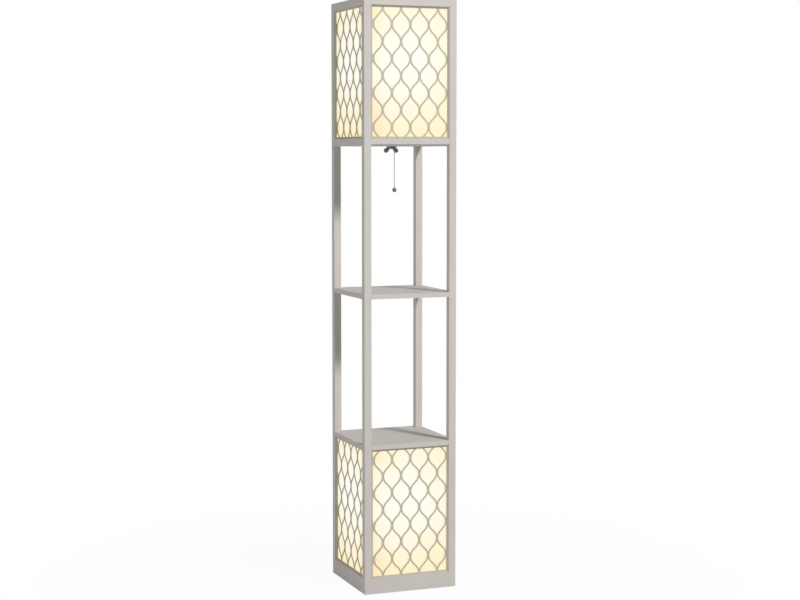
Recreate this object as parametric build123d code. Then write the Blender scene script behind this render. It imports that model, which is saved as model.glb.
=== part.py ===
from build123d import *
import os
from math import atan2, cos, degrees, pi, radians, sin, sqrt, tan

os.makedirs("parts", exist_ok=True)

# All sizes are in millimetres. The origin is the middle of the footprint, on the floor.
# X points right, Y points to the back and Z points up.

# ---- frame -------------------------------------------------------------------------
lamp_width = 265.0
lamp_height = 1600.0
post_side = 20.0
top_rail_height = 20.5
base_rail_height = 42.0
panel_height = 351.5            # clear height of one lit box
middle_shelf_underside = 800.0
shelf_thickness = 13.0
upper_shelf_thickness = 20.5
upper_shelf_chamfer = 5.5       # bevel along the upper shelf's lower edges
edge_softening = 0.6            # tiny rounding on the long edges of posts and rails

# ---- panels ------------------------------------------------------------------------
reveal_depth = 5.5              # from a post's outer face to the groove, and to the bead's inner edge
bead_thickness = 1.0            # of the bead's lip and inner edge
bead_lip = 3.0                  # how far a bead reaches into the posts' grooves
bead_width = 5.0
bead_land = 0.4                 # flat along the bead's front edge, before it slopes in
bead_setback = 0.6              # from the post's outer face to the bead's front edge
lattice_thickness = 1.5
diffuser_thickness = 1.0
post_groove_depth = 5.0
rail_groove_depth = 3.0
groove_slack = 0.2
panel_slack = 0.3               # gap between a panel's edge and the groove's floor

# ---- lattice pattern ---------------------------------------------------------------
cell_pitch = 52.8
cell_period = 90.6
strip_width = 4.5
neck_width = 6.7
first_neck = 30.0               # height of the lowest neck on the middle column
pattern_shift = 1.5             # the pattern's middle column lies this far off the panel's middle

# ---- dowels and screws -------------------------------------------------------------
dowel_radius = 3.0
rail_dowel_in_post = 8.0
rail_dowel_in_rail = 16.0
shelf_dowel_in_post = 5.0
shelf_dowel_in_shelf = 15.0
dowel_clearance = 0.05
dowel_end_gap = 0.3
base_dowel_inset = 5.0
base_dowel_heights = (10.0, 24.0)
top_dowel_drop_across = 12.5    # below the lamp's top, in the front and back rails
top_dowel_drop_along = 5.0      # below the lamp's top, in the left and right rails
screw_radius = 2.0
screw_head_radius = 4.0
screw_length = 22.0
screw_spacing = 140.0
screw_clearance = 0.05

# ---- base board --------------------------------------------------------------------
base_board_thickness = 12.0
base_board_top = 30.0
base_rebate = 10.0              # how far the board runs under each rail
base_board_slack = 0.2

# ---- lampholders -------------------------------------------------------------------
stem_x = -6.0
stem_y = 0.0
stem_radius = 5.0
stem_bore_radius = 3.2
stem_clearance = 0.25
stem_above_board = 9.0
thread_clearance = 0.05
cup_radius = 17.0
cup_height = 14.0
cup_wall = 2.5
cup_floor = 3.0
shell_radius = 19.5
shell_height = 44.0
shell_wall = 3.0
shell_spigot = 3.0
web_height = 6.0                # from the shell's seat to the web's underside
web_thickness = 4.0
screw_shell_radius = 14.8
screw_shell_wall = 0.6
screw_shell_height = 26.0
screw_shell_flange = 9.0
contact_rise = 4.0
contact_leaf = 0.6
contact_width = 6.0
contact_reach = 5.0
contact_foot = 3.6

# ---- bulbs -------------------------------------------------------------------------
bulb_tip_radius = 4.0
bulb_tip_height = 1.5
bulb_cap_radius = 13.1
bulb_cap_root = 12.3
bulb_cap_height = 25.5
bulb_cap_taper = 4.0
bulb_cap_end_radius = 7.0
bulb_thread_pitch = 3.62
bulb_thread_turns = 5
bulb_neck_radius = 13.5
bulb_neck_height = 7.0
bulb_globe_radius = 30.0
bulb_globe_rise = 46.0          # from the cap's top to the globe's middle
bulb_glass = 1.0

# ---- wing nut and washer -----------------------------------------------------------
washer_radius = 12.5
washer_thickness = 1.2
nut_hub_radius = 9.5
nut_hub_height = 6.0
nut_collar_radius = 11.5
nut_collar_height = 2.2
wing_root_radius = 3.6
wing_root_x = 7.0
wing_root_drop = 3.8
wing_lobe_radius = 6.2
wing_lobe_x = 14.6
wing_lobe_drop = 10.2
wing_thickness = 4.5
wing_rounding = 1.2
stem_recess = 0.5               # of the stem's end inside the wing nut
hex_nut_flat = 14.0
hex_nut_height = 4.0
hex_nut_clearance = 1.5         # length of stem below the hex nut

# ---- pull switch and chain ---------------------------------------------------------
chain_from_stem_x = 17.5
chain_from_stem_y = 20.0
switch_length = 28.0
switch_depth = 17.0
switch_height = 13.5
switch_roof = 0.9
switch_rounding = 2.0
switch_cavity_radius = 4.0
bushing_radius = 5.0
bushing_bore_radius = 2.3
bushing_mouth_radius = 3.4
bushing_drop = 4.0              # below the shelf's underside
bushing_flange_radius = 7.0
bushing_flange = 1.0
ring_nut_radius = 7.5
ring_nut_height = 3.0
bead_radius = 1.6
bead_pitch = 4.2
bead_wire_radius = 0.55
bead_gap = 0.3                  # round the ball that the chain swings on
pivot_drop = 6.0                # of that ball, below the shelf's underside
chain_beads = 25
rod_head_radius = 3.5
rod_head_height = 1.0
pull_travel = 10.0
rod_end_gap = 0.3               # left under the rod's head when the chain is pulled
knob_radius = 6.0
knob_collar_radius = 1.7
knob_collar_height = 1.0
knob_hole_depth = 4.0
knob_fit = 0.05

# ---- wiring ------------------------------------------------------------------------
lead_radius = 2.0
lead_lift = 0.1                 # of a lead above what it lies on
lead_from_post_face = 7.9       # of the upright lead's middle, into the back right post
lead_groove_width = 5.0
lead_groove_depth = 7.0
lead_bend_radius = 8.0
lead_run = 0.45                 # share of the shorter run that a bend uses
strip_width_back = 7.0
strip_depth = 2.0
strip_slack = 0.1
strip_overlap = 4.0
lead_hole_clearance = 0.3
lead_entry = 1.2                # how far a lead's end stands in the wall it enters
lead_back_gap = 0.5             # between the lead in the post and its cover strip
cup_lead_height = 6.0
cup_lead_angle = 140.0
cup_lead_reach = 42.0           # from the stem to where the last straight run starts
supply_bends = ((12.0, 0.0, 7.0), (24.0, 4.0, 14.7), (34.0, 13.0, 14.5))    # from the terminal block
post_turn = 27.0                # from the terminal block's middle to where the lead turns to the post
shelf_bends = ((-18.0, 2.0), (-48.0, -10.0))    # from the post's lead and the block's middle
switch_run = 30.0               # straight run into the switch
lamp_link_run = 18.0            # from the switch to the link's first bend, and on to its second
lower_lamp_bends = ((14.0, 0.0), (34.0, 4.0), (62.0, 12.0))     # back from the terminal block
block_length = 24.0
block_depth = 16.0
block_height = 14.0
block_from_post = 42.5          # of the terminal block's middle, from the post's two inner faces
bush_from_post = 72.5           # of the cord bush, along the back rail
bush_bore_radius = 3.25
bush_radius = 4.0
bush_clearance = 0.05
bush_flange_radius = 6.5
bush_flange = 2.0
bush_rise = 4.3                 # of its axis above the base board

# ---- places worked out from the sizes ----------------------------------------------
half = lamp_width / 2
post_face = half - post_side                    # inner face of a post
opening_width = 2 * post_face
lower_opening = base_rail_height                # underside of the lower box's opening
lower_shelf_underside = lower_opening + panel_height
top_rail_underside = lamp_height - top_rail_height
upper_shelf_top = top_rail_underside - panel_height
upper_shelf_underside = upper_shelf_top - upper_shelf_thickness
base_board_underside = base_board_top - base_board_thickness
lattice_depth = reveal_depth + bead_thickness   # from the outer face to the lattice's face
diffuser_depth = lattice_depth + lattice_thickness
groove_back = diffuser_depth + diffuser_thickness + groove_slack
sides = {"front": 0, "right": 90, "back": 180, "left": 270}
boxes = {"upper": upper_shelf_top, "lower": lower_opening}
chain_x = stem_x + chain_from_stem_x
chain_y = stem_y + chain_from_stem_y
chain_angle = degrees(atan2(chain_from_stem_y, chain_from_stem_x))
pivot_z = upper_shelf_underside - pivot_drop
lead_x = post_face + lead_from_post_face
block_x = post_face - block_from_post
block_y = post_face - block_from_post
bush_x = post_face - bush_from_post


def save(shape, node):
    export_step(shape, f"parts/{node}.step")


def block(x0, x1, y0, y1, z0, z1):
    """A box between two corners."""
    return Pos((x0 + x1) / 2, (y0 + y1) / 2, (z0 + z1) / 2) * Box(x1 - x0, y1 - y0, z1 - z0)


def tube(radius, z0, z1, bore=0.0):
    """An upright round bar from z0 to z1, with a bore if one is given."""
    bar = Pos(0, 0, (z0 + z1) / 2) * Cylinder(radius, z1 - z0)
    if bore > 0:
        bar -= Pos(0, 0, (z0 + z1) / 2) * Cylinder(bore, z1 - z0 + 2)
    return bar


def turned(outline):
    """A solid of revolution about Z from edges drawn in the XZ plane."""
    return revolve(make_face(outline), Axis.Z, 360)


def soften(shape, axis, radius):
    """Rounds the long edges that run along one axis."""
    return fillet(shape.edges().filter_by(axis).group_by(SortBy.LENGTH)[-1], radius)


# ---- grooves that hold the panels --------------------------------------------------
def panel_groove(side, bottom):
    """The space of one panel's groove, cut from every piece round it."""
    reach = post_face + post_groove_depth
    space = block(-reach, reach, -half + reveal_depth, -half + groove_back,
                  bottom - rail_groove_depth, bottom + panel_height + rail_groove_depth)
    return Rot(0, 0, sides[side]) * space


grooves = []
for side in sides:
    for bottom in boxes.values():
        grooves.append(panel_groove(side, bottom))


# ---- dowels ------------------------------------------------------------------------
def dowel_spots():
    """Each dowel: its start in the post, its direction from the post, and its lengths."""
    spots = []
    for side, turn in sides.items():
        across = side in ("front", "back")
        top_drop = top_dowel_drop_across if across else top_dowel_drop_along
        places = [(half - post_side / 2, lamp_height - top_drop)]
        for height in base_dowel_heights:
            places.append((half - base_dowel_inset, height))
        for hand in (-1, 1):
            for offset, height in places:
                spots.append((turn, hand, offset, height, rail_dowel_in_post, rail_dowel_in_rail))
    shelf_middles = [middle_shelf_underside + shelf_thickness / 2,
                     lower_shelf_underside + shelf_thickness / 2,
                     upper_shelf_underside + upper_shelf_thickness / 2]
    for turn in (sides["front"], sides["back"]):
        for hand in (-1, 1):
            for height in shelf_middles:
                spots.append((turn, hand, half - post_side / 2, height,
                              shelf_dowel_in_post, shelf_dowel_in_shelf))
    return spots


def dowel(spot, growth=0.0, extra=0.0):
    """One dowel, or with growth and extra the hole that takes it."""
    turn, hand, offset, height, in_post, in_rail = spot
    length = in_post + in_rail + 2 * extra
    middle = hand * (post_face + (in_post - in_rail) / 2)
    pin = Pos(middle, -offset, height) * Rot(0, 90, 0) * Cylinder(dowel_radius + growth, length)
    return Rot(0, 0, turn) * pin


dowels = [dowel(spot) for spot in dowel_spots()]
dowel_holes = [dowel(spot, dowel_clearance, dowel_end_gap) for spot in dowel_spots()]


def touches(shape, cutter):
    a = shape.bounding_box()
    b = cutter.bounding_box()
    return (a.min.X < b.max.X and b.min.X < a.max.X and a.min.Y < b.max.Y
            and b.min.Y < a.max.Y and a.min.Z < b.max.Z and b.min.Z < a.max.Z)


def machined(shape):
    """A frame piece with its panel grooves and dowel holes cut."""
    for cutter in grooves + dowel_holes:
        if touches(shape, cutter):
            shape -= cutter
    return shape


# ---- frame pieces ------------------------------------------------------------------
def lead_channel():
    """The groove, its mouth and the two slots that take the lead in the back right post."""
    low = lower_opening + lead_lift + lead_radius
    high = upper_shelf_top + lead_lift + lead_radius
    slot = lead_groove_width / 2
    floor = half - lead_groove_depth
    channel = block(lead_x - slot, lead_x + slot, floor, half + 1, low, high)
    for z0, z1 in ((lower_opening, low + lead_bend_radius), (high - lead_bend_radius, high + slot)):
        channel += block(lead_x - slot, lead_x + slot, post_face - 1, half + 1, z0, z1)
    mouth = strip_width_back / 2
    channel += block(lead_x - mouth, lead_x + mouth, half - strip_depth, half + 1,
                     lower_opening - strip_overlap, high + slot + strip_overlap)
    return channel


def post(x_hand, y_hand):
    x = x_hand * (half - post_side / 2)
    y = y_hand * (half - post_side / 2)
    bar = Pos(x, y, lamp_height / 2) * Box(post_side, post_side, lamp_height)
    bar = soften(bar, Axis.Z, edge_softening)
    bar = machined(bar)
    if x_hand > 0 and y_hand > 0:
        bar -= lead_channel()
    return bar


def top_rail(side):
    bar = block(-post_face, post_face, -half, -post_face, top_rail_underside, lamp_height)
    bar = soften(bar, Axis.X, edge_softening)
    return machined(Rot(0, 0, sides[side]) * bar)


def screw_spots():
    spots = []
    for turn in sides.values():
        for hand in (-1, 1):
            spots.append((turn, hand * screw_spacing / 2))
    return spots


def base_screw(spot, growth=0.0):
    """A countersunk screw that comes up through the base board into a rail."""
    turn, x = spot
    head_height = screw_head_radius - screw_radius
    radius = screw_radius + growth
    head = screw_head_radius + growth
    tip = screw_length - screw_radius
    outline = Polyline((0, 0), (head, 0), (radius, head_height), (radius, tip + growth),
                       (0, screw_length + growth), (0, 0))
    profile = Plane.XZ * outline
    body = turned(profile)
    body = Pos(x, -(half - base_rebate - base_rebate / 2), base_board_underside) * body
    return Rot(0, 0, turn) * body


def base_rail(side):
    bar = block(-post_face, post_face, -half, -post_face, 0, base_rail_height)
    bar = soften(bar, Axis.X, edge_softening)
    bar -= block(-post_face - 1, post_face + 1, -half + base_rebate, -post_face + 1, -1, base_board_top)
    bar = machined(Rot(0, 0, sides[side]) * bar)
    for spot in screw_spots():
        hole = base_screw(spot, screw_clearance)
        if touches(bar, hole):
            bar -= hole
    if side == "back":
        bush_z = base_board_top + bush_rise
        axis = Pos(bush_x, half, bush_z) * Rot(90, 0, 0)
        bar -= axis * Cylinder(bush_radius + bush_clearance, 2 * post_side + 2)
        bar -= axis * Cylinder(bush_flange_radius + bush_clearance, 2 * bush_flange)
    return bar


def shelf(underside, thickness, chamfer_size=0.0):
    """A board the size of the lamp, notched round the four posts."""
    board = block(-half, half, -half, half, underside, underside + thickness)
    if chamfer_size > 0:
        lower_edges = board.faces().sort_by(Axis.Z)[0].edges()
        board = chamfer(lower_edges, chamfer_size)
    for x_hand in (-1, 1):
        for y_hand in (-1, 1):
            x = x_hand * (half - post_side / 2)
            y = y_hand * (half - post_side / 2)
            board -= Pos(x, y, underside + thickness / 2) * Box(post_side, post_side, thickness + 2)
    return machined(board)


def upper_shelf():
    board = shelf(upper_shelf_underside, upper_shelf_thickness, upper_shelf_chamfer)
    middle = upper_shelf_underside + upper_shelf_thickness / 2
    through = upper_shelf_thickness + 2
    board -= Pos(stem_x, stem_y, middle) * Cylinder(stem_radius + stem_clearance, through)
    board -= Pos(chain_x, chain_y, middle) * Cylinder(bushing_radius + bush_clearance, through)
    return board


def base_board():
    reach = half - base_rebate - base_board_slack
    board = block(-reach, reach, -reach, reach, base_board_underside, base_board_top)
    notch = reach - post_face + base_board_slack
    middle = (base_board_underside + base_board_top) / 2
    for x_hand in (-1, 1):
        for y_hand in (-1, 1):
            corner = Pos(x_hand * reach, y_hand * reach, middle)
            board -= corner * Box(2 * notch, 2 * notch, base_board_thickness + 2)
    board -= Pos(stem_x, stem_y, middle) * Cylinder(stem_radius + stem_clearance, base_board_thickness + 2)
    for spot in screw_spots():
        board -= base_screw(spot, screw_clearance)
    return board


# ---- lattice -----------------------------------------------------------------------
def cell_outline():
    """One ogee cell round the origin: pointed above and below, widest at its middle."""
    half_pitch = cell_pitch / 2
    half_period = cell_period / 2
    offset = (neck_width - strip_width) / 2
    swing = half_pitch - 2 * offset
    bend = (half_period - swing) / (2 * (sqrt(2) - 1))
    wide = bend + strip_width / 2
    tight = bend - strip_width / 2
    start = atan2(sqrt(wide ** 2 - (offset + bend) ** 2), offset + bend)
    eighth = pi / 4

    def near_tip(angle):
        return Vector(offset + bend - wide * cos(angle), -half_period + wide * sin(angle))

    def near_side(angle):
        return Vector(half_pitch - offset - bend + tight * cos(angle), tight * sin(angle))

    tip = near_tip(start)
    arc_end = near_tip(eighth)
    side_start = near_side(-eighth)
    lower = ThreePointArc(tip, near_tip((start + eighth) / 2), arc_end)
    slope = Line(arc_end, side_start)
    bulge = ThreePointArc(side_start, near_side(0), near_side(eighth))
    lower_half = [lower, slope]
    upper_half = [edge.mirror(Plane.XZ) for edge in lower_half]
    right = lower_half + [bulge] + upper_half
    left = [edge.mirror(Plane.YZ) for edge in right]
    return make_face(right + left)


def lattice(box, side):
    """A thin plate with the ogee cells cut out, standing in the panel's groove."""
    width = opening_width + 2 * (post_groove_depth - panel_slack)
    height = panel_height + 2 * (rail_groove_depth - panel_slack)
    plate = Rectangle(width, height)
    window = Rectangle(opening_width, panel_height)
    cell = cell_outline()
    columns = int(opening_width / cell_pitch / 2) + 2
    rows = int(panel_height / cell_period) + 2
    for column in range(-columns, columns + 1):
        for row in range(-1, rows):
            for stagger in (0, 1):
                x = pattern_shift + (column + stagger / 2) * cell_pitch
                y = first_neck - panel_height / 2 + (row + (1 - stagger) / 2) * cell_period
                beyond_x = abs(x) > opening_width / 2 + cell_pitch / 2
                beyond_y = abs(y) > panel_height / 2 + cell_period / 2
                if not beyond_x and not beyond_y:
                    plate -= window & (Pos(x, y) * cell)
    if box == "lower":
        plate = plate.mirror(Plane.XZ)
    sheet = extrude(plate, lattice_thickness)
    sheet = Pos(0, -half + lattice_depth + lattice_thickness, boxes[box] + panel_height / 2) * (
        Rot(90, 0, 0) * sheet)
    return Rot(0, 0, sides[side]) * sheet


def diffuser(box, side):
    reach = opening_width / 2 + post_groove_depth - panel_slack
    spare = rail_groove_depth - panel_slack
    sheet = block(-reach, reach, -half + diffuser_depth, -half + diffuser_depth + diffuser_thickness,
                  boxes[box] - spare, boxes[box] + panel_height + spare)
    return Rot(0, 0, sides[side]) * sheet


def opening_plate(side_inset, top_inset, front, back, box):
    """A plate as large as a box's opening less an inset, between two depths from the outer face."""
    reach = post_face - side_inset
    bottom = boxes[box] + top_inset
    top = boxes[box] + panel_height - top_inset
    return block(-reach, reach, -half + front, -half + back, bottom, top)


def bead_mouth(box, inset, depth):
    """The outline of the space inside the bead at one depth."""
    middle = boxes[box] + panel_height / 2
    place = Plane((0, -half + depth, middle), (1, 0, 0), (0, -1, 0))
    return place * Rectangle(opening_width - 2 * inset, panel_height - 2 * inset)


def panel_bead(box, side):
    """A mitred moulding that slopes in round the opening, with a lip that stands in the groove."""
    ring = opening_plate(0, 0, bead_setback, reveal_depth, box)
    ring += opening_plate(-bead_lip, panel_slack - rail_groove_depth, reveal_depth, lattice_depth, box)
    ring -= loft([bead_mouth(box, bead_land, bead_setback), bead_mouth(box, bead_width, reveal_depth)])
    ring -= opening_plate(bead_width, bead_width, reveal_depth, lattice_depth, box)
    return Rot(0, 0, sides[side]) * ring


# ---- lampholder --------------------------------------------------------------------
def stem(board_underside, board_top, drop):
    return Pos(stem_x, stem_y, 0) * tube(stem_radius, board_underside - drop,
                                         board_top + stem_above_board, stem_bore_radius)


def at_stem(shape, board_top):
    return Pos(stem_x, stem_y, board_top) * shape


def holder_cup():
    cup = tube(cup_radius, 0, cup_height)
    cup = fillet(cup.edges().sort_by(Axis.Z)[0], cup_wall / 2)
    cup -= tube(cup_radius - cup_wall, cup_floor, cup_height + 1)
    cup -= tube(stem_radius + thread_clearance, -1, cup_floor + 1)
    hole = Pos(cup_radius, 0, cup_lead_height) * Rot(0, 90, 0) * Cylinder(
        lead_radius + lead_hole_clearance, 2 * cup_wall + 2)
    cup -= Rot(0, 0, cup_lead_angle) * hole
    return cup


def holder_shell():
    seat = cup_height
    web = seat + web_height
    body = tube(shell_radius, seat, seat + shell_height, shell_radius - shell_wall)
    body = fillet(body.edges().sort_by(Axis.Z)[-1], shell_wall / 3)
    body += tube(shell_radius - shell_wall / 2, web, web + web_thickness)
    spigot = cup_radius - cup_wall - thread_clearance
    body += tube(shell_radius - shell_wall / 2, seat, seat + cup_wall, spigot - cup_wall)
    body += tube(spigot, seat - shell_spigot, seat + cup_wall / 2, spigot - cup_wall)
    return body


web_top = cup_height + web_height + web_thickness


def screw_shell():
    inner = screw_shell_radius - screw_shell_wall
    sleeve = tube(screw_shell_radius, web_top, web_top + screw_shell_height, inner)
    return sleeve + tube(screw_shell_radius - screw_shell_wall / 2, web_top,
                         web_top + screw_shell_wall, screw_shell_flange)


def centre_contact():
    """A brass leaf that stands on the web and presses on the bulb's tip."""
    half_width = contact_width / 2
    back = -contact_reach
    foot = block(back - contact_foot + contact_leaf, back + contact_leaf, -half_width, half_width,
                 web_top, web_top + contact_leaf)
    riser = block(back, back + contact_leaf, -half_width, half_width, web_top, web_top + contact_rise)
    leaf = block(back, contact_reach, -half_width, half_width,
                 web_top + contact_rise - contact_leaf, web_top + contact_rise)
    return foot + riser + leaf


# ---- bulb --------------------------------------------------------------------------
tip_bottom = web_top + contact_rise
cap_bottom = tip_bottom + bulb_tip_height
cap_top = cap_bottom + bulb_cap_height


def bulb_tip():
    return tube(bulb_tip_radius, tip_bottom, cap_bottom)


def bulb_cap():
    """The screw cap: a taper, round thread ridges and a plain collar."""
    points = [(0, cap_bottom), (bulb_cap_end_radius, cap_bottom)]
    z = cap_bottom + bulb_cap_taper
    edges = [Line(points[0], points[1]), Line(points[1], (bulb_cap_root, z))]
    for turn in range(bulb_thread_turns):
        crest = (bulb_cap_radius, z + bulb_thread_pitch / 2)
        end = (bulb_cap_root, z + bulb_thread_pitch)
        edges.append(ThreePointArc((bulb_cap_root, z), crest, end))
        z += bulb_thread_pitch
    edges.append(Line((bulb_cap_root, z), (bulb_cap_root, cap_top)))
    edges.append(Line((bulb_cap_root, cap_top), (0, cap_top)))
    edges.append(Line((0, cap_top), points[0]))
    return turned([Plane.XZ * edge for edge in edges])


def bulb_globe():
    """The glass: a straight neck, a hollow curve and a round globe, open at the neck."""
    neck_top = cap_top + bulb_neck_height
    middle = cap_top + bulb_globe_rise
    rise = middle - neck_top
    flare = (bulb_neck_radius ** 2 + rise ** 2 - bulb_globe_radius ** 2) / (
        2 * (bulb_globe_radius - bulb_neck_radius))
    flare_x = bulb_neck_radius + flare
    angle = atan2(rise, flare_x)

    def skin(inset):
        neck = bulb_neck_radius - inset
        hollow = flare + inset
        ball = bulb_globe_radius - inset
        join = (ball * cos(angle), middle - ball * sin(angle))
        half_angle = angle / 2
        waist = (flare_x - hollow * cos(half_angle), neck_top + hollow * sin(half_angle))
        return [Line((neck, cap_top), (neck, neck_top)),
                ThreePointArc((neck, neck_top), waist, join),
                ThreePointArc(join, (ball, middle), (0, middle + ball))]

    outer = skin(0)
    inner = skin(bulb_glass)
    edges = outer + inner
    edges.append(Line((bulb_neck_radius, cap_top), (bulb_neck_radius - bulb_glass, cap_top)))
    edges.append(Line((0, middle + bulb_globe_radius), (0, middle + bulb_globe_radius - bulb_glass)))
    return turned([Plane.XZ * edge for edge in edges])


# ---- wing nut, washer and hex nut --------------------------------------------------
nut_top = upper_shelf_underside - washer_thickness


def stem_washer():
    washer = tube(washer_radius, nut_top, upper_shelf_underside, stem_radius + stem_clearance)
    return Pos(stem_x, stem_y, 0) * washer


def wing():
    """One wing: a web that runs down and out from the hub to a round lobe."""
    run = wing_lobe_x - wing_root_x
    fall = wing_lobe_drop - wing_root_drop
    distance = sqrt(run ** 2 + fall ** 2)
    lean = atan2(-fall, run)
    spread = (wing_lobe_radius - wing_root_radius) / distance
    side = pi / 2 + atan2(spread, sqrt(1 - spread ** 2))
    corners = []
    for hand, centre, radius in ((1, (wing_root_x, -wing_root_drop), wing_root_radius),
                                 (1, (wing_lobe_x, -wing_lobe_drop), wing_lobe_radius),
                                 (-1, (wing_lobe_x, -wing_lobe_drop), wing_lobe_radius),
                                 (-1, (wing_root_x, -wing_root_drop), wing_root_radius)):
        direction = lean + hand * side
        corners.append((centre[0] + radius * cos(direction), centre[1] + radius * sin(direction)))
    far = (wing_lobe_x + wing_lobe_radius * cos(lean), -wing_lobe_drop + wing_lobe_radius * sin(lean))
    near = (wing_root_x - wing_root_radius * cos(lean), -wing_root_drop - wing_root_radius * sin(lean))
    edges = [Line(corners[0], corners[1]), ThreePointArc(corners[1], far, corners[2]),
             Line(corners[2], corners[3]), ThreePointArc(corners[3], near, corners[0])]
    face = make_face([Plane.XZ * edge for edge in edges])
    plate = extrude(face, wing_thickness / 2, both=True)
    rims = plate.faces().filter_by(Axis.Y).edges()
    return fillet(rims, wing_rounding)


def wing_nut():
    hub = tube(nut_hub_radius, -nut_hub_height, 0)
    hub = fillet(hub.edges().sort_by(Axis.Z)[0], wing_rounding)
    hub += tube(nut_collar_radius, -nut_collar_height, 0)
    one_wing = wing()
    hub += one_wing
    hub += Rot(0, 0, 180) * one_wing
    hub -= tube(stem_radius + thread_clearance, -nut_hub_height - 1, 1)
    return Pos(stem_x, stem_y, nut_top) * hub


def hex_nut():
    blank = extrude(RegularPolygon(hex_nut_flat / 2, 6, major_radius=False), hex_nut_height)
    blank = Pos(stem_x, stem_y, base_board_underside - hex_nut_height) * blank
    return blank - Pos(stem_x, stem_y, base_board_underside) * Cylinder(
        stem_radius + thread_clearance, 3 * hex_nut_height)


# ---- pull switch and chain ---------------------------------------------------------
def at_chain(shape):
    return Pos(chain_x, chain_y, 0) * Rot(0, 0, chain_angle) * shape


def switch_body():
    """A moulded case on the shelf, with a cavity for the pull rod and a hole for each lead."""
    floor = upper_shelf_top + bushing_flange
    case = Pos(0, 0, upper_shelf_top + switch_height / 2) * Box(switch_depth, switch_length, switch_height)
    case = fillet(case.edges().filter_by(Axis.Z), switch_rounding)
    case = fillet(case.faces().sort_by(Axis.Z)[-1].edges(), switch_rounding / 2)
    roof = upper_shelf_top + switch_height - switch_roof
    case -= tube(switch_cavity_radius, upper_shelf_top - 1, roof)
    case -= tube(bushing_flange_radius + bush_clearance, upper_shelf_top - 1, floor)
    lead_z = upper_shelf_top + lead_lift + lead_radius
    hole = Cylinder(lead_radius + bush_clearance, 2 * lead_entry)
    case -= Pos(switch_depth / 2, 0, lead_z) * Rot(0, 90, 0) * hole
    case -= Pos(0, switch_length / 2, lead_z) * Rot(90, 0, 0) * hole
    return at_chain(case)


def switch_bushing():
    """A threaded neck that hangs the switch in the shelf, with a flared mouth for the chain."""
    bottom = upper_shelf_underside - bushing_drop
    flare = bushing_mouth_radius - bushing_bore_radius
    neck = tube(bushing_radius, bottom, upper_shelf_top)
    neck += tube(bushing_flange_radius, upper_shelf_top, upper_shelf_top + bushing_flange)
    neck -= tube(bushing_bore_radius, bottom - 1, upper_shelf_top + bushing_flange + 1)
    neck -= Pos(0, 0, bottom + flare / 2) * Cone(bushing_mouth_radius, bushing_bore_radius, flare)
    return at_chain(neck)


def ring_nut():
    ring = tube(ring_nut_radius, upper_shelf_underside - ring_nut_height, upper_shelf_underside,
                bushing_radius + thread_clearance)
    return at_chain(ring)


def bead_string(first, count):
    """Beads on a wire, downwards from the height of the first bead's centre, in one outline."""
    half_bead = sqrt(bead_radius ** 2 - bead_wire_radius ** 2)
    edges = []
    for index in range(count):
        z = first - index * bead_pitch
        edges.append(ThreePointArc((bead_wire_radius, z + half_bead), (bead_radius, z),
                                   (bead_wire_radius, z - half_bead)))
        if index < count - 1:
            edges.append(Line((bead_wire_radius, z - half_bead),
                              (bead_wire_radius, z - bead_pitch + half_bead)))
    return edges, half_bead


def beaded_bar(top, first, count, bottom):
    """A string of beads with a plain wire end above and below it."""
    edges, half_bead = bead_string(first, count)
    last = first - (count - 1) * bead_pitch - half_bead
    edges.append(Line((0, top), (bead_wire_radius, top)))
    edges.append(Line((bead_wire_radius, top), (bead_wire_radius, first + half_bead)))
    edges.append(Line((bead_wire_radius, last), (bead_wire_radius, bottom)))
    edges.append(Line((bead_wire_radius, bottom), (0, bottom)))
    edges.append(Line((0, bottom), (0, top)))
    return turned([Plane.XZ * edge for edge in edges])


knob_centre = pivot_z - chain_beads * bead_pitch - bead_pitch / 2 - knob_collar_height - knob_radius
rod_head_bottom = upper_shelf_top + bushing_flange + pull_travel + rod_end_gap


def pull_rod():
    """The end of the chain inside the switch: a headed rod with beads below it."""
    bottom = pivot_z + bead_radius + bead_gap
    count = int((rod_head_bottom - bottom) / bead_pitch)
    first = bottom + bead_pitch / 2 + (count - 1) * bead_pitch
    rod = beaded_bar(rod_head_bottom, first, count, bottom)
    return at_chain(rod + tube(rod_head_radius, rod_head_bottom, rod_head_bottom + rod_head_height))


def pivot_bead():
    return Pos(chain_x, chain_y, pivot_z) * Sphere(bead_radius)


def hanging_chain():
    top = pivot_z - bead_radius - bead_gap
    bottom = knob_centre + knob_radius + knob_collar_height - knob_hole_depth
    return at_chain(beaded_bar(top, pivot_z - bead_pitch, chain_beads, bottom))


def pull_knob():
    ball = Pos(0, 0, knob_centre) * Sphere(knob_radius)
    collar_top = knob_centre + knob_radius + knob_collar_height
    ball += tube(knob_collar_radius, knob_centre + knob_radius / 2, collar_top)
    ball -= tube(bead_wire_radius + knob_fit, collar_top - knob_hole_depth, collar_top + 1)
    return at_chain(ball)


# ---- wiring ------------------------------------------------------------------------
def cable(points, radii=None):
    """A round lead along straight runs joined by arcs as large as the runs allow."""
    points = [Vector(*point) for point in points]
    bends = []
    for index in range(1, len(points) - 1):
        before = points[index] - points[index - 1]
        after = points[index + 1] - points[index]
        turn = radians(before.get_angle(after))
        shorter = min(before.length, after.length)
        bends.append(lead_run * shorter / tan(turn / 2))
    for index, radius in (radii or {}).items():
        bends[index - 1] = radius
    path = FilletPolyline(*points, radius=bends)
    start = Plane(origin=path @ 0, z_dir=path % 0)
    return sweep(start * Circle(lead_radius), path=path)


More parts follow.
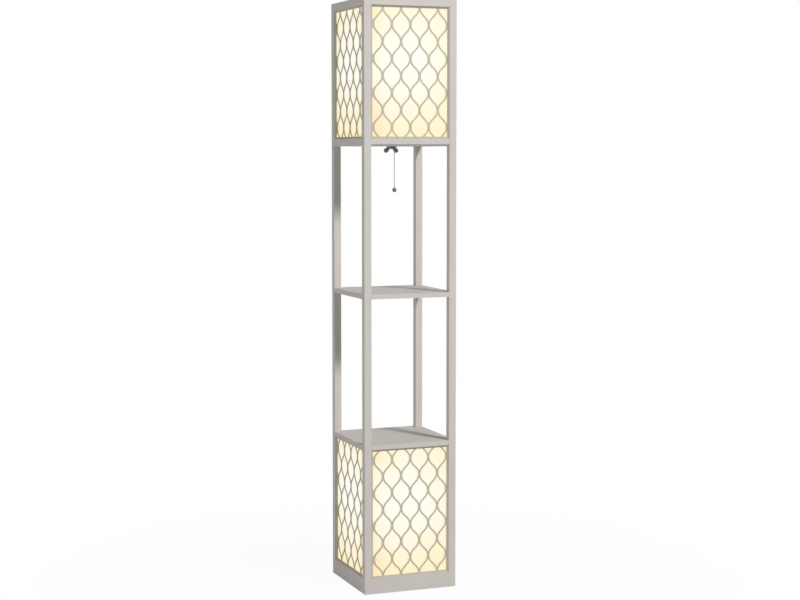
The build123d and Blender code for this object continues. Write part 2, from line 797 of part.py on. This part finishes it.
def main_lead():
    """From the terminal block up the back right post to the pull switch."""
    low = lower_opening + lead_lift + lead_radius
    high = upper_shelf_top + lead_lift + lead_radius
    in_groove = half - strip_depth - lead_radius - lead_back_gap
    block_end = block_x + block_length / 2
    block_z = base_board_top + block_height / 2
    outward = (cos(radians(chain_angle)), sin(radians(chain_angle)))
    entry = switch_depth / 2 - lead_entry
    points = [(block_end, block_y, block_z)]
    for x, y, z in supply_bends:
        points.append((block_end + x, block_y + y, base_board_top + z))
    points += [(lead_x, block_y + post_turn, low), (lead_x, in_groove, low),
               (lead_x, in_groove, high), (lead_x, block_y + post_turn, high)]
    for x, y in shelf_bends:
        points.append((lead_x + x, block_y + y, high))
    for reach in (entry + switch_run, entry):
        points.append((chain_x + reach * outward[0], chain_y + reach * outward[1], high))
    return cable(points, {5: lead_bend_radius, 6: lead_bend_radius})


def cup_lead(board_top, start_points):
    """The last stretch of a lamp's lead, into the side of its cup."""
    angle = radians(cup_lead_angle)
    inside = cup_radius - cup_wall - lead_entry
    z = board_top + cup_lead_height
    ends = [(stem_x + reach * cos(angle), stem_y + reach * sin(angle), z)
            for reach in (cup_lead_reach, inside)]
    return cable(start_points + ends)


def upper_lamp_lead():
    """From the pull switch to the upper lampholder."""
    high = upper_shelf_top + lead_lift + lead_radius
    along = (-sin(radians(chain_angle)), cos(radians(chain_angle)))
    entry = switch_length / 2 - lead_entry
    points = [(chain_x + reach * along[0], chain_y + reach * along[1], high)
              for reach in (entry, entry + lamp_link_run)]
    points.append((points[1][0] - lamp_link_run, points[1][1], high))
    return cup_lead(upper_shelf_top, points)


def lower_lamp_lead():
    """From the terminal block to the lower lampholder."""
    low = base_board_top + lead_lift + lead_radius
    start = block_x - block_length / 2
    block_z = base_board_top + block_height / 2
    points = [(start, block_y, block_z)]
    for x, y in lower_lamp_bends:
        height = block_z if y == 0 else low
        points.append((start - x, block_y - y, height))
    return cup_lead(base_board_top, points)


def lead_strip():
    """The strip that closes the lead's groove, flush with the post's back face."""
    mouth = strip_width_back / 2 - strip_slack
    high = upper_shelf_top + lead_lift + lead_radius + lead_groove_width / 2
    return block(lead_x - mouth, lead_x + mouth, half - strip_depth, half,
                 lower_opening - strip_overlap + strip_slack, high + strip_overlap - strip_slack)


def terminal_block():
    """A small moulded block with two wire ways and two screw wells."""
    base = Pos(block_x, block_y, base_board_top + block_height / 2) * Box(block_length, block_depth,
                                                                        block_height)
    base = fillet(base.edges().filter_by(Axis.Z), switch_rounding)
    for hand in (-1, 1):
        well = Pos(block_x, block_y + hand * block_depth / 4, base_board_top + block_height)
        base -= well * Cylinder(screw_radius, block_height)
    return base


def cord_bush():
    """A bush through the back base rail, its flange sunk flush, where the supply cord enters."""
    bush = tube(bush_radius, 0, post_side) + tube(bush_flange_radius, 0, bush_flange)
    bush -= tube(bush_bore_radius, -1, post_side + 1)
    return Pos(bush_x, half, base_board_top + bush_rise) * Rot(90, 0, 0) * bush


# ---- export ------------------------------------------------------------------------
for x_hand, x_name in ((-1, "left"), (1, "right")):
    for y_hand, y_name in ((-1, "front"), (1, "back")):
        save(post(x_hand, y_hand), f"post_{y_name}_{x_name}")

for side in sides:
    save(top_rail(side), f"top_rail_{side}")
    save(base_rail(side), f"base_rail_{side}")
    for box in boxes:
        save(diffuser(box, side), f"{box}_diffuser_{side}")
        save(lattice(box, side), f"{box}_lattice_{side}")

save(Compound([panel_bead(box, side) for box in boxes for side in sides]), "panel_beads")
save(upper_shelf(), "upper_shelf")
save(shelf(middle_shelf_underside, shelf_thickness), "middle_shelf")
save(shelf(lower_shelf_underside, shelf_thickness), "lower_shelf")
save(base_board(), "base_board")
save(Compound([base_screw(spot) for spot in screw_spots()]), "base_board_screws")
save(Compound(dowels), "frame_dowels")

upper_stem_drop = washer_thickness + nut_hub_height - stem_recess
lower_stem_drop = hex_nut_height + hex_nut_clearance
board_tops = (upper_shelf_top, base_board_top)
save(Compound([stem(upper_shelf_underside, upper_shelf_top, upper_stem_drop),
               stem(base_board_underside, base_board_top, lower_stem_drop)]), "holder_stems")
save(Compound([at_stem(holder_cup(), top) for top in board_tops]), "holder_cups")
save(Compound([at_stem(holder_shell(), top) for top in board_tops]), "holder_shells")
save(Compound([at_stem(screw_shell(), top) for top in board_tops]), "holder_screw_shells")
save(Compound([at_stem(centre_contact(), top) for top in board_tops]), "holder_contacts")
for box, top in zip(boxes, board_tops):
    save(at_stem(bulb_tip(), top), f"{box}_bulb_tip")
    save(at_stem(bulb_cap(), top), f"{box}_bulb_cap")
    save(at_stem(bulb_globe(), top), f"{box}_bulb_globe")

save(stem_washer(), "stem_washer")
save(wing_nut(), "wing_nut")
save(hex_nut(), "lower_stem_nut")
save(switch_body(), "switch_body")
save(switch_bushing(), "switch_bushing")
save(ring_nut(), "switch_ring_nut")
save(pull_rod(), "pull_rod")
save(pivot_bead(), "chain_pivot_bead")
save(hanging_chain(), "pull_chain")
save(pull_knob(), "pull_knob")
save(Compound([main_lead(), upper_lamp_lead(), lower_lamp_lead()]), "inner_leads")
save(lead_strip(), "lead_cover_strip")
save(terminal_block(), "terminal_block")
save(cord_bush(), "cord_bush")
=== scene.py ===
import math

import bmesh
import bpy
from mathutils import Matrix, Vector


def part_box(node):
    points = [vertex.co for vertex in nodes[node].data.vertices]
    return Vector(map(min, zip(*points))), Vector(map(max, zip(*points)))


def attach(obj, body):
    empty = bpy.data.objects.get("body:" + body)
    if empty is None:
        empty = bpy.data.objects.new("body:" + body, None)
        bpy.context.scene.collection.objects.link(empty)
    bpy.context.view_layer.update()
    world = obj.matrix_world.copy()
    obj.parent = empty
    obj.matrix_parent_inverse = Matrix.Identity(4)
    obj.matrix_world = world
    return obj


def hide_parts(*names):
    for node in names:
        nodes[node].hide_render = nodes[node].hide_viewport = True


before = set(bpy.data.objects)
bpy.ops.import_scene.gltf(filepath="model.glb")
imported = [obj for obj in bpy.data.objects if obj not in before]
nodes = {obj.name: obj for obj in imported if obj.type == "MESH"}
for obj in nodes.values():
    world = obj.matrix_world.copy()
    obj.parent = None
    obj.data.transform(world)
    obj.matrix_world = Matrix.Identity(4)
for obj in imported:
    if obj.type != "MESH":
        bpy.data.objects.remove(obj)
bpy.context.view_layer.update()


# ---- Posts, rails, shelves and beads --------------------------------------------------
# Four square posts run the full height, with rails and notched shelves doweled between them. All are
# fibreboard, sprayed a satin, warm light grey. Mitred beads slope in round the panels; their darker
# paint is painted shade for the reveals.
def tone(red, green, blue):
    """A colour as it is seen on a screen, made ready for a shader."""
    parts = []
    for part in (red, green, blue):
        part /= 255
        parts.append(part / 12.92 if part <= 0.04045 else ((part + 0.055) / 1.055) ** 2.4)
    return (*parts, 1.0)


class Level:
    """A number that varies over a surface, for use in plain sums."""

    def __init__(self, shading, socket):
        self.shading = shading
        self.socket = socket

    def sum(self, operation, *terms):
        made = self.shading.node("ShaderNodeMath", {"operation": operation}, dict(enumerate(terms)))
        return Level(self.shading, made.outputs[0])

    def __add__(self, other):
        return self.sum("ADD", self, other)

    def __radd__(self, other):
        return self.sum("ADD", other, self)

    def __sub__(self, other):
        return self.sum("SUBTRACT", self, other)

    def __rsub__(self, other):
        return self.sum("SUBTRACT", other, self)

    def __mul__(self, other):
        return self.sum("MULTIPLY", self, other)

    def __rmul__(self, other):
        return self.sum("MULTIPLY", other, self)

    def __pow__(self, other):
        return self.sum("POWER", self, other)

    def larger(self, other):
        return self.sum("MAXIMUM", self, other)

    def between(self, low, high):
        """0 below low, 1 above high, smooth in between."""
        made = self.shading.node("ShaderNodeMapRange", {"interpolation_type": "SMOOTHSTEP"},
                                 {"Value": self, "From Min": low, "From Max": high})
        return Level(self.shading, made.outputs["Result"])


class Shading:
    """The node tree of a material or of the world."""

    def __init__(self, owner):
        owner.use_nodes = True
        self.tree = owner.node_tree

    def node(self, kind, settings=None, inputs=None):
        made = self.tree.nodes.new(kind)
        for key, value in (settings or {}).items():
            setattr(made, key, value)
        for key, value in (inputs or {}).items():
            self.join(made, key, value)
        return made

    def join(self, made, key, value):
        if isinstance(value, Level):
            value = value.socket
        if isinstance(value, bpy.types.NodeSocket):
            self.tree.links.new(value, made.inputs[key])
        else:
            made.inputs[key].default_value = value


class Finish(Shading):
    """A material built round one Principled shader."""

    def __init__(self, name, **settings):
        self.material = bpy.data.materials.new(name)
        super().__init__(self.material)
        self.shader = self.tree.nodes["Principled BSDF"]
        self.place = self.node("ShaderNodeTexCoord").outputs["Object"]
        self.give(**settings)

    def give(self, **settings):
        for key, value in settings.items():
            self.join(self.shader, key.replace("_", " "), value)

    def speckle(self, size, detail=2.0, stretch=(1, 1, 1)):
        """Cloudy noise whose blobs are about size metres across."""
        spread = self.node("ShaderNodeMapping", None, {"Vector": self.place, "Scale": stretch})
        made = self.node("ShaderNodeTexNoise", None, {
            "Vector": spread.outputs[0], "Scale": 1 / size, "Detail": detail})
        return Level(self, made.outputs[0])

    def along(self, axis):
        """The place on the object along X, Y or Z, in metres."""
        made = self.node("ShaderNodeSeparateXYZ", None, {0: self.place})
        return Level(self, made.outputs[axis])

    def blend(self, share, first, second):
        """A colour between two, or between a colour and another blend."""
        made = self.node("ShaderNodeMix", {"data_type": "RGBA"}, {0: share, 6: first, 7: second})
        return made.outputs[2]

    def relief(self, height, depth):
        """Raises the surface by height times depth metres."""
        made = self.node("ShaderNodeBump", None, {"Height": height, "Distance": depth, "Strength": 1.0})
        self.give(Normal=made.outputs[0])

    def on(self, *names):
        for name in names:
            piece = nodes[name]
            piece.data.materials.clear()
            piece.data.materials.append(self.material)


def paint(name, base, lift):
    """Sprayed satin paint: a faint cloud in the colour, orange peel and a few lint specks."""
    coat = Finish(name, Specular_IOR_Level=0.08)
    cloud = coat.speckle(0.09)
    peel = coat.speckle(0.0016, 1.0)
    lint = coat.speckle(0.004, 0.0).between(0.74, 0.78)
    darker = tuple(channel * (1 - lift) for channel in base[:3]) + (1.0,)
    lighter = tuple(min(1.0, channel * (1 + lift)) for channel in base[:3]) + (1.0,)
    coat.give(Base_Color=coat.blend(cloud.between(0.35, 0.65), darker, lighter))
    coat.give(Roughness=0.55 + cloud * 0.06 + peel * 0.06)
    coat.relief(peel + lint * 0.8, 0.00006)
    return coat


SIDES = ("front", "right", "back", "left")
frame_paint = paint("frame_paint", tone(199, 194, 188), 0.012)
frame_paint.on(*[f"post_{depth}_{hand}" for depth in ("front", "back") for hand in ("left", "right")])
frame_paint.on(*[f"{rail}_rail_{side}" for rail in ("top", "base") for side in SIDES])
frame_paint.on("upper_shelf", "middle_shelf", "lower_shelf", "base_board", "lead_cover_strip")
# The beads' paint is darker than the frame's as painted shade in the reveals round the panels.
bead_paint = paint("bead_paint", tone(180, 174, 163), 0.012)
bead_paint.on("panel_beads")


# ---- Lattice plates ------------------------------------------------------------------
# Thin board cut into rows of pointed cells, painted a little warmer than the frame.
# One plate stands in front of each lit sheet, in the groove of the posts and rails.
BOXES = ("upper", "lower")
lattice_paint = paint("lattice_paint", tone(190, 184, 166), 0.01)
lattice_paint.on(*[f"{box}_lattice_{side}" for box in BOXES for side in SIDES])


# ---- Lit sheets ----------------------------------------------------------------------
# Translucent white sheet. The bulb's light on it is painted in as emission, not cast by the bulb.
# It glows white near the bulb and turns a warm cream away from it and round the dark lampholder, where
# it is painted shade.
BOX_FLOOR = {"upper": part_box("upper_shelf")[1][2], "lower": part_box("base_rail_front")[1][2]}
GLOBE_LOW, GLOBE_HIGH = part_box("upper_bulb_globe")
BULB_X = (GLOBE_LOW[0] + GLOBE_HIGH[0]) / 2
GLOW_RISE = 0.205
GLOW_SQUASH = 0.9
WHITE_TO_CREAM = (0.125, 0.19)
CREAM_TO_WARM = (0.16, 0.27)
PATCH_CORNER = (-0.115, -0.124)
PATCH_REACH = 0.07
PATCH_STARTS = (0.17, 0.24)
PATCH_SHARE = 0.5
for box in BOXES:
    sheet = Finish(f"lit_sheet_{box}", Roughness=0.55, Specular_IOR_Level=0.2)
    across = sheet.along(0) - BULB_X
    deep = sheet.along(1)
    up = sheet.along(2) - (BOX_FLOOR[box] + GLOW_RISE)
    away = (across * across + deep * deep + up * up * GLOW_SQUASH) ** 0.5
    mottle = sheet.speckle(0.05) * 0.03 + sheet.speckle(0.0012, 1.0) * 0.01
    spread = away + mottle
    warm = sheet.blend(spread.between(*WHITE_TO_CREAM), tone(255, 254, 248), tone(255, 249, 226))
    warm = sheet.blend(spread.between(*CREAM_TO_WARM), warm, tone(255, 239, 188))
    # A painted pool of warm light on each sheet, near its front left corner.
    corner_x = sheet.along(0) - PATCH_CORNER[0]
    corner_y = sheet.along(1) - PATCH_CORNER[1]
    corner = (corner_x * corner_x + corner_y * corner_y) ** 0.5
    painted_warm_pool = (1 - corner.between(0.0, PATCH_REACH)) * spread.between(*PATCH_STARTS)
    warm = sheet.blend(painted_warm_pool * PATCH_SHARE, warm, tone(255, 216, 160))
    sheet.give(Emission_Color=warm, Emission_Strength=0.86)
    sheet.give(Base_Color=sheet.blend(sheet.speckle(0.0012, 1.0), (0.13, 0.125, 0.11, 1.0),
                                      (0.16, 0.155, 0.14, 1.0)))
    sheet.on(*[f"{box}_diffuser_{side}" for side in SIDES])


# ---- Dowels --------------------------------------------------------------------------
# Plain beech pins that locate the rails and shelves in the posts. They can't be seen.
beech = Finish("beech", Roughness=0.6)
grain = beech.speckle(0.003, 4.0, (0.15, 0.15, 1.0))
beech.give(Base_Color=beech.blend(grain, tone(206, 170, 128), tone(228, 198, 160)))
beech.relief(grain, 0.0001)
beech.on("frame_dowels")


# ---- Screws, stems, nuts and bushing ---------------------------------------------------
# Turned steel with a bright zinc plate.
zinc = Finish("zinc_plate", Metallic=1.0)
spangle = zinc.speckle(0.0025, 3.0)
zinc.give(Base_Color=zinc.blend(spangle, tone(176, 178, 182), tone(205, 206, 208)))
zinc.give(Roughness=0.25 + spangle * 0.2)
zinc.relief(zinc.speckle(0.0006), 0.00002)
zinc.on("base_board_screws", "holder_stems", "lower_stem_nut", "switch_bushing", "switch_ring_nut")


# ---- Wing nut, washer and knob ---------------------------------------------------------
# Plated dark grey. The nut is cast, a little rough from the mould.
dark_plate = Finish("dark_plate", Metallic=0.8)
casting = dark_plate.speckle(0.0018, 3.0)
dark_plate.give(Base_Color=dark_plate.blend(casting, tone(98, 97, 96), tone(120, 119, 117)))
dark_plate.give(Roughness=0.38 + casting * 0.2)
dark_plate.relief(casting, 0.00005)
dark_plate.on("wing_nut", "stem_washer", "pull_knob")


# ---- Pull chain --------------------------------------------------------------------------
# Nickelled steel beads on a wire, with the rod that works the switch above them.
nickel = Finish("nickel_chain", Metallic=1.0)
handled = nickel.speckle(0.006, 3.0)
nickel.give(Base_Color=nickel.blend(handled, tone(150, 149, 147), tone(190, 189, 186)))
nickel.give(Roughness=0.2 + handled * 0.2)
nickel.on("pull_rod", "chain_pivot_bead", "pull_chain")


# ---- Lampholders -------------------------------------------------------------------------
# Two moulded halves in white heat-proof plastic, screwed on the stem.
moulding = Finish("white_moulding", Specular_IOR_Level=0.5)
flow = moulding.speckle(0.02, 2.0)
moulding.give(Base_Color=moulding.blend(flow, tone(226, 225, 218), tone(236, 235, 229)))
moulding.give(Roughness=0.25 + flow * 0.12)
moulding.relief(moulding.speckle(0.0007, 1.0), 0.00002)
moulding.on("holder_cups", "holder_shells")


# ---- Brass contacts ------------------------------------------------------------------------
# Pressed brass screw shells and leaf contacts, and the solder tips of the bulbs.
brass = Finish("pressed_brass", Metallic=1.0)
tarnish = brass.speckle(0.008, 4.0)
brass.give(Base_Color=brass.blend(tarnish, tone(190, 150, 84), tone(222, 186, 118)))
brass.give(Roughness=0.22 + tarnish * 0.25)
brass.on("holder_screw_shells", "holder_contacts", "upper_bulb_tip", "lower_bulb_tip")


# ---- Bulbs ---------------------------------------------------------------------------------
# An opal glass globe, cemented in a screw cap. Both bulbs are lit.
# The cap is thin nickelled metal with a rolled right-hand thread, and black glass holds its tip.
cap_metal = Finish("bulb_cap_metal", Metallic=1.0)
rolled = cap_metal.speckle(0.004, 3.0, (1, 1, 4))
cap_metal.give(Base_Color=cap_metal.blend(rolled, tone(178, 177, 174), tone(208, 207, 203)))
cap_metal.give(Roughness=0.22 + rolled * 0.2)

black_glass = Finish("black_cap_glass", Coat_Weight=0.5)
flow = black_glass.speckle(0.003)
black_glass.give(Base_Color=black_glass.blend(flow, tone(26, 25, 27), tone(40, 38, 40)))
black_glass.give(Roughness=0.12 + flow * 0.1)

THREAD_PITCH = 0.00362
THREAD_DEPTH = 0.0008
CAP_TAPER = 0.004
CAP_END_RADIUS = 0.007
CAP_COLLAR = 0.0034
CAP_SIDES = 72
ROWS_A_TURN = 8


def cap_radius(rise, turn, height, crest):
    """The cap's radius at a height above its lower end and a share of a turn round it."""
    root = crest - THREAD_DEPTH
    if rise < CAP_TAPER:
        return CAP_END_RADIUS + (root - CAP_END_RADIUS) * rise / CAP_TAPER
    inside = min(rise - CAP_TAPER, height - CAP_COLLAR - rise)
    fade = min(1.0, max(0.0, 2 * inside / THREAD_PITCH))
    wave = 0.5 - 0.5 * math.cos(2 * math.pi * ((rise - CAP_TAPER) / THREAD_PITCH - turn))
    return root + THREAD_DEPTH * wave * fade


def rolled_cap(box):
    low, high = [Vector(corner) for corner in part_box(f"{box}_bulb_cap")]
    axis = (low + high) / 2
    height = high.z - low.z
    rows = round(height / THREAD_PITCH * ROWS_A_TURN)
    form = bmesh.new()
    rings = []
    for row in range(rows + 1):
        rise = height * row / rows
        ring = []
        for side in range(CAP_SIDES):
            angle = 2 * math.pi * side / CAP_SIDES
            radius = cap_radius(rise, side / CAP_SIDES, height, (high.x - low.x) / 2)
            ring.append(form.verts.new((axis.x + radius * math.cos(angle),
                                        axis.y + radius * math.sin(angle), low.z + rise)))
        rings.append(ring)
    for below, above in zip(rings, rings[1:]):
        for side in range(CAP_SIDES):
            other = (side + 1) % CAP_SIDES
            face = form.faces.new((below[side], below[other], above[other], above[side]))
            face.smooth = True
            face.material_index = 1 if above[0].co.z < low.z + CAP_TAPER else 0
    form.faces.new(rings[0][::-1]).material_index = 1
    form.faces.new(rings[-1])
    mesh = bpy.data.meshes.new(f"{box}_rolled_cap")
    form.to_mesh(mesh)
    form.free()
    mesh.materials.append(cap_metal.material)
    mesh.materials.append(black_glass.material)
    piece = bpy.data.objects.new(f"{box}_rolled_cap", mesh)
    bpy.context.scene.collection.objects.link(piece)
    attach(piece, f"{box}_bulb")
    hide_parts(f"{box}_bulb_cap")


for box in BOXES:
    rolled_cap(box)
    opal = Finish(f"opal_glass_{box}", Roughness=0.12, Coat_Weight=0.4)
    above_cap = opal.along(2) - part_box(f"{box}_bulb_globe")[0][2]
    glow = above_cap.between(0.0, 0.02)
    opal.give(Base_Color=opal.blend(opal.speckle(0.01), tone(245, 243, 236), tone(250, 249, 244)))
    opal.give(Emission_Color=opal.blend(glow, tone(190, 176, 150), tone(255, 250, 238)))
    opal.give(Emission_Strength=0.9)
    opal.on(f"{box}_bulb_globe")


# ---- Switch --------------------------------------------------------------------------------
# A black moulded case that stands on the upper shelf, held by its threaded bushing.
case = Finish("black_moulding")
satin = case.speckle(0.0009)
case.give(Base_Color=case.blend(satin, tone(32, 32, 33), tone(44, 44, 45)))
case.give(Roughness=0.35 + satin * 0.15)
case.relief(satin, 0.00003)
case.on("switch_body")


# ---- Leads, cord bush and terminal block -------------------------------------------------------
# Grey plastic-covered leads and bush, and a moulded block that joins the leads.
cover = Finish("lead_cover")
handled = cover.speckle(0.02, 3.0)
cover.give(Base_Color=cover.blend(handled, tone(176, 173, 167), tone(190, 187, 181)))
cover.give(Roughness=0.45 + handled * 0.15)
cover.relief(cover.speckle(0.0007), 0.00002)
cover.on("inner_leads", "cord_bush")

nylon = Finish("block_nylon")
milky = nylon.speckle(0.006)
nylon.give(Base_Color=nylon.blend(milky, tone(214, 213, 206), tone(226, 225, 219)))
nylon.give(Roughness=0.4 + milky * 0.15)
nylon.relief(nylon.speckle(0.0008), 0.00002)
nylon.on("terminal_block")


# ---- Floor, light and camera -------------------------------------------------------------------
# A plain white floor and background and a key light high at the front right. Two low fills, to the left
# and behind, and a soft surround lift the shaded faces.
FLOOR_REACH = 30.0
FLOOR_DROP = 0.0005
FLOOR_FADE = (0.4, 1.3)
WHITE_BY_THE_LAMP = 0.965
floor_mesh = bpy.data.meshes.new("floor")
form = bmesh.new()
bmesh.ops.create_grid(form, x_segments=1, y_segments=1, size=FLOOR_REACH)
form.to_mesh(floor_mesh)
form.free()
floor = bpy.data.objects.new("floor", floor_mesh)
floor.location.z = -FLOOR_DROP
bpy.context.scene.collection.objects.link(floor)


def seen_directly(shading):
    """1 for what the camera sees, itself or in metal or through glass, and 0 for other light."""
    rays = shading.node("ShaderNodeLightPath").outputs
    camera, glossy, through = [Level(shading, rays[f"Is {kind} Ray"]) for kind in
                               ("Camera", "Glossy", "Transmission")]
    return camera.larger(glossy).larger(through)


ground = Finish("white_floor", Base_Color=(0.5, 0.5, 0.5, 1.0), Roughness=0.9)
floor_x = ground.along(0)
floor_y = ground.along(1)
far = ((floor_x * floor_x + floor_y * floor_y) ** 0.5).between(*FLOOR_FADE)
share = seen_directly(ground) * (WHITE_BY_THE_LAMP + far * (1 - WHITE_BY_THE_LAMP))
white = ground.node("ShaderNodeEmission", None, {"Color": (1.0, 1.0, 1.0, 1.0), "Strength": 1.0})
floor_look = ground.node("ShaderNodeMixShader", None, {
    0: share, 1: ground.shader.outputs[0], 2: white.outputs[0]})
ground.join(ground.tree.nodes["Material Output"], "Surface", floor_look.outputs[0])
floor_mesh.materials.append(ground.material)

room = bpy.data.worlds.new("soft_room")
bpy.context.scene.world = room
air = Shading(room)
surround = air.node("ShaderNodeBackground", None, {"Color": (1.0, 1.0, 1.0, 1.0), "Strength": 0.2})
backdrop = air.node("ShaderNodeBackground", None, {"Color": (1.0, 1.0, 1.0, 1.0), "Strength": 1.0})
room_look = air.node("ShaderNodeMixShader", None, {
    0: seen_directly(air), 1: surround.outputs[0], 2: backdrop.outputs[0]})
air.join(air.tree.nodes["World Output"], "Surface", room_look.outputs[0])


def softbox(name, place, aim, width, watts):
    light = bpy.data.lights.new(name, "AREA")
    light.shape = "SQUARE"
    light.size = width
    light.energy = watts
    holder = bpy.data.objects.new(name, light)
    holder.location = place
    holder.rotation_euler = (Vector(aim) - Vector(place)).to_track_quat("-Z", "Y").to_euler()
    bpy.context.scene.collection.objects.link(holder)
    return holder


softbox("key_light", (2.62, -6.49, 6.2), (0, 0, 0.8), 1.3, 652.0)
softbox("left_fill", (-5.0, -1.2, 1.0), (0, 0, 0.9), 1.9, 75.0)
back_fill = softbox("back_fill", (1.8, 5.0, 0.9), (0, 0, 0.8), 1.7, 98.0)
back_fill.visible_glossy = False

CAMERA_PLACE = (-1.6715, -4.3533, 1.1956)
CAMERA_TILT = -4.4992
CAMERA_TURN = -21.2388
lens = bpy.data.cameras.new("view")
lens.sensor_width = 36.0
lens.lens = 76.2243
lens.shift_y = -0.02
lens.clip_end = 100.0
camera = bpy.data.objects.new("view", lens)
camera.location = CAMERA_PLACE
camera.rotation_euler = (math.radians(90 + CAMERA_TILT), 0.0, math.radians(CAMERA_TURN))
bpy.context.scene.collection.objects.link(camera)
bpy.context.scene.camera = camera
bpy.context.scene.view_settings.view_transform = "Standard"
